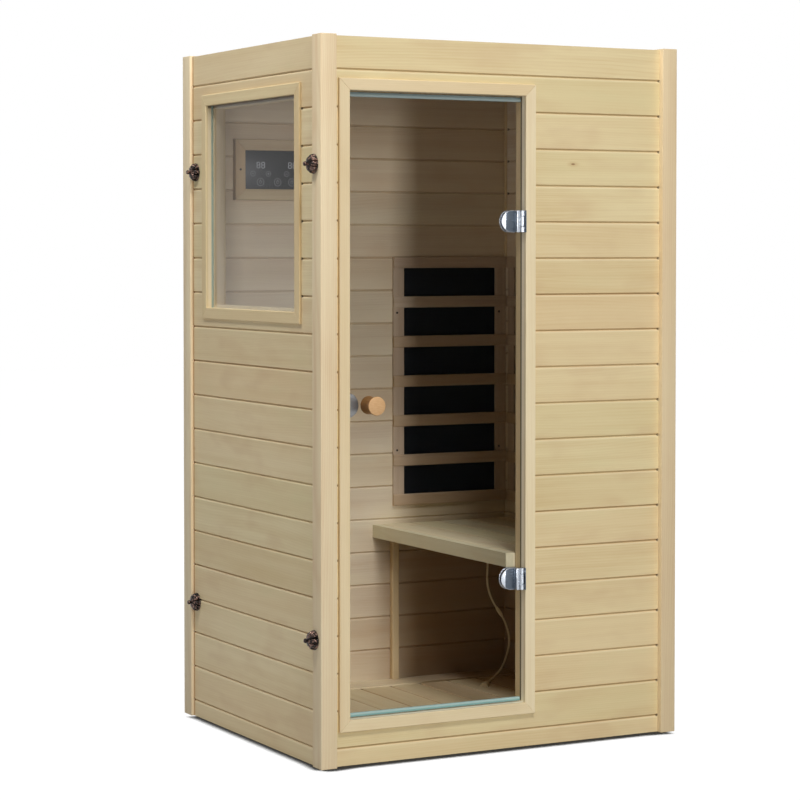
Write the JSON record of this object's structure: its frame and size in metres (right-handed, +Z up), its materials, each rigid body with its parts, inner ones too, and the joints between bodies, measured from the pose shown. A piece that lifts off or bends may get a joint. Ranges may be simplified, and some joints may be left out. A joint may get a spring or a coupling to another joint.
{
  "type": "infrared sauna cabin",
  "caption": "Free-standing timber infrared sauna cabin with board walls, tinted glass door, side window, bench, slatted heaters and a control panel.",
  "frame": {"origin": "on the ground, at the middle of the cabin's footprint between the posts", "axes": "+X to the right seen from the front, front towards -Y, +Z up"},
  "size_m": [1.131, 0.9193, 1.9],
  "materials": {
    "post_wood": "planed, clear matt oil",
    "side_boards": "planed, clear matt oil",
    "front_boards": "planed, clear matt oil",
    "inner_boards": "planed, untreated",
    "frame_wood": "sawn",
    "floor_wood": "planed, untreated",
    "trim_wood": "planed, clear matt oil",
    "lining_wood": "planed, clear matt oil",
    "bench_wood": "planed and rounded",
    "slat_wood": "planed and rounded",
    "control_wood": "planed",
    "knob_wood": "turned, lacquered",
    "door_glass": "bronze tint, polished edges",
    "window_glass": "bronze tint",
    "chrome": "polished",
    "strike_steel": "satin",
    "bronze": "antique brown patina",
    "emitter": "black matt",
    "display": "dark smoked",
    "cable": "cream sheath",
    "power_metal": "grey powder coat",
    "dark_plastic": "black moulded"
  },
  "bodies": {
    "cabin": {"front_left_post": "post_wood", "front_right_post": "post_wood", "rear_left_post": "post_wood", "rear_right_post": "post_wood", "left_outer_boards": "side_boards", "right_outer_boards": "side_boards", "front_outer_boards": "front_boards", "back_outer_boards": "front_boards", "left_inner_boards": "inner_boards", "right_inner_boards": "inner_boards", "back_inner_boards": "inner_boards", "front_inner_boards": "inner_boards", "ceiling_boards": "inner_boards", "base_frame": "frame_wood", "left_wall_frame": "frame_wood", "right_wall_frame": "frame_wood", "back_wall_frame": "frame_wood", "front_wall_frame": "frame_wood", "roof_cover": "frame_wood", "floor_deck": "floor_wood", "floor_end_board": "floor_wood", "door_trim": "trim_wood", "window_outer_trim": "trim_wood", "window_inner_trim": "trim_wood", "door_lining": "lining_wood", "window_lining": "lining_wood", "bench_seat": "bench_wood", "bench_rear_leg": "bench_wood", "bench_front_leg": "bench_wood", "bench_ledger": "bench_wood", "back_heater_grille": "slat_wood", "side_heater_grille": "slat_wood", "control_frame": "control_wood", "window_glass": "window_glass", "upper_hinge_leaf": "chrome", "lower_hinge_leaf": "chrome", "back_heater": "emitter", "side_heater": "emitter", "control_display": "display", "cable_upper": "cable", "cable_connector": "cable", "cable_lower": "cable", "power_box": "power_metal", "cable_wall_gland": "dark_plastic", "cable_floor_hood": "dark_plastic", "door_catch": "dark_plastic"},
    "door": {"door_glass": "door_glass", "upper_hinge_clamp": "chrome", "lower_hinge_clamp": "chrome", "door_knob": "knob_wood", "knob_bolt": "chrome", "door_strike": "strike_steel"},
    "front_upper_latch_knob": {"front_upper_latch": "bronze"},
    "front_lower_latch_knob": {"front_lower_latch": "bronze"},
    "rear_upper_latch_knob": {"rear_upper_latch": "bronze"},
    "rear_lower_latch_knob": {"rear_lower_latch": "bronze"}
  },
  "joints": [
    {"name": "door_swing", "type": "hinge", "parent": "cabin", "child": "door", "pos_m": [0.059, -0.438, 0.94], "axis": [0, 0, 1], "range_deg": [0, 110]},
    {"name": "front_upper_latch_turn", "type": "hinge", "parent": "cabin", "child": "front_upper_latch_knob", "pos_m": [-0.55, -0.41, 1.566], "axis": [-1, 0, 0], "range_deg": [0, 90]},
    {"name": "front_lower_latch_turn", "type": "hinge", "parent": "cabin", "child": "front_lower_latch_knob", "pos_m": [-0.55, -0.41, 0.333], "axis": [-1, 0, 0], "range_deg": [0, 90]},
    {"name": "rear_upper_latch_turn", "type": "hinge", "parent": "cabin", "child": "rear_upper_latch_knob", "pos_m": [-0.542, 0.372, 1.566], "axis": [-1, 0, 0], "range_deg": [0, 90]},
    {"name": "rear_lower_latch_turn", "type": "hinge", "parent": "cabin", "child": "rear_lower_latch_knob", "pos_m": [-0.542, 0.372, 0.333], "axis": [-1, 0, 0], "range_deg": [0, 90]}
  ]
}
